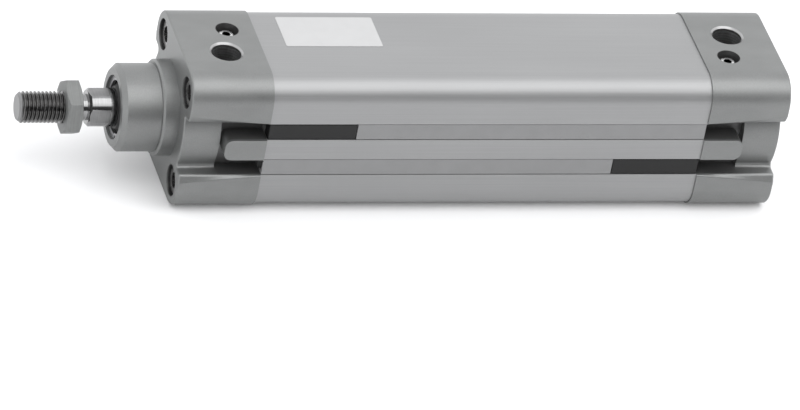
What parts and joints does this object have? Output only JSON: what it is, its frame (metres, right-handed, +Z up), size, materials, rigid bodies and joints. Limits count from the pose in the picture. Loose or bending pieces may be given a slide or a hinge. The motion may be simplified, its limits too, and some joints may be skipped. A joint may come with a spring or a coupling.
{
  "type": "pneumatic cylinder",
  "caption": "Double-acting profile air cylinder with a chromed piston rod, lock nut, adjustable end cushioning and flush position switches in covered slots.",
  "frame": {"origin": "on the rod's axis, in the front mounting face", "axes": "+X along the rod's axis towards the rear cap (the rod points along -X), +Y to the back, +Z up towards the ports"},
  "size_m": [0.242, 0.048, 0.048],
  "materials": {
    "anodised_profile": "satin anodised",
    "cast_cap": "satin die cast",
    "turned_aluminium": "turned",
    "seal_rubber": "matte",
    "bearing_bronze": "satin",
    "spring_steel": "phosphated",
    "grey_strip": "matte",
    "switch_housing": "matte",
    "wear_plastic": "matte",
    "magnet": "matte",
    "chromed_rod": "polished",
    "zinc_nut": "zinc plated, dull",
    "zinc_steel": "zinc plated",
    "needle_steel": "turned"
  },
  "bodies": {
    "barrel": {"barrel_profile": "anodised_profile", "front_cap": "cast_cap", "rear_cap": "cast_cap", "front_barrel_ring": "seal_rubber", "rear_barrel_ring": "seal_rubber", "front_cushion_seal": "seal_rubber", "rear_cushion_seal": "seal_rubber", "rod_guide_bush": "bearing_bronze", "rod_seal": "seal_rubber", "retaining_ring": "spring_steel", "slot_strip_front_upper": "grey_strip", "slot_strip_front_lower": "grey_strip", "slot_strip_back_upper": "grey_strip", "slot_strip_back_lower": "grey_strip", "position_switch_front": "switch_housing", "position_switch_rear": "switch_housing", "front_cap_screw_1": "zinc_steel", "front_cap_screw_2": "zinc_steel", "front_cap_screw_3": "zinc_steel", "front_cap_screw_4": "zinc_steel", "rear_cap_screw_1": "zinc_steel", "rear_cap_screw_2": "zinc_steel", "rear_cap_screw_3": "zinc_steel", "rear_cap_screw_4": "zinc_steel"},
    "piston_packing": {"piston_seal_front": "seal_rubber", "piston_seal_rear": "seal_rubber", "piston_wear_ring": "wear_plastic"},
    "rod": {"piston_rod": "chromed_rod", "piston_half_front": "turned_aluminium", "piston_half_rear": "turned_aluminium", "piston_magnet": "magnet", "front_buffer": "seal_rubber", "rear_buffer": "seal_rubber", "front_cushion_sleeve": "turned_aluminium", "rear_cushion_sleeve": "turned_aluminium", "piston_nut": "zinc_steel"},
    "lock_nut": {"rod_nut": "zinc_nut"},
    "front_needle_packing": {"front_needle_ring": "seal_rubber"},
    "front_needle": {"front_cushion_needle": "needle_steel"},
    "rear_needle_packing": {"rear_needle_ring": "seal_rubber"},
    "rear_needle": {"rear_cushion_needle": "needle_steel"}
  },
  "joints": [
    {"name": "rod_slide", "type": "slide", "parent": "barrel", "child": "piston_packing", "axis": [-1, 0, 0], "range_m": [0, 0.1]},
    {"name": "rod_spin", "type": "hinge", "parent": "piston_packing", "child": "rod", "pos_m": [0, 0, 0], "axis": [1, 0, 0], "continuous": true},
    {"name": "nut_turn", "type": "hinge", "parent": "rod", "child": "lock_nut", "pos_m": [-0.0311, 0, 0], "axis": [1, 0, 0], "continuous": true},
    {"name": "front_needle_lift", "type": "slide", "parent": "barrel", "child": "front_needle_packing", "axis": [0, 0, 1], "range_m": [0, 0.0015]},
    {"name": "front_needle_turn", "type": "hinge", "parent": "front_needle_packing", "child": "front_needle", "pos_m": [0.0172, 0.0073, 0.0158], "axis": [0, 0, 1], "range_deg": [0, 1080.1]},
    {"name": "rear_needle_lift", "type": "slide", "parent": "barrel", "child": "rear_needle_packing", "axis": [0, 0, 1], "range_m": [0, 0.0015]},
    {"name": "rear_needle_turn", "type": "hinge", "parent": "rear_needle_packing", "child": "rear_needle", "pos_m": [0.1768, -0.0073, 0.0158], "axis": [0, 0, 1], "range_deg": [0, 1080.1]}
  ],
  "couplings": [
    {"joint": "front_needle_turn", "follows": "front_needle_lift", "rad_per_m": 12566},
    {"joint": "rear_needle_turn", "follows": "rear_needle_lift", "rad_per_m": 12566}
  ]
}
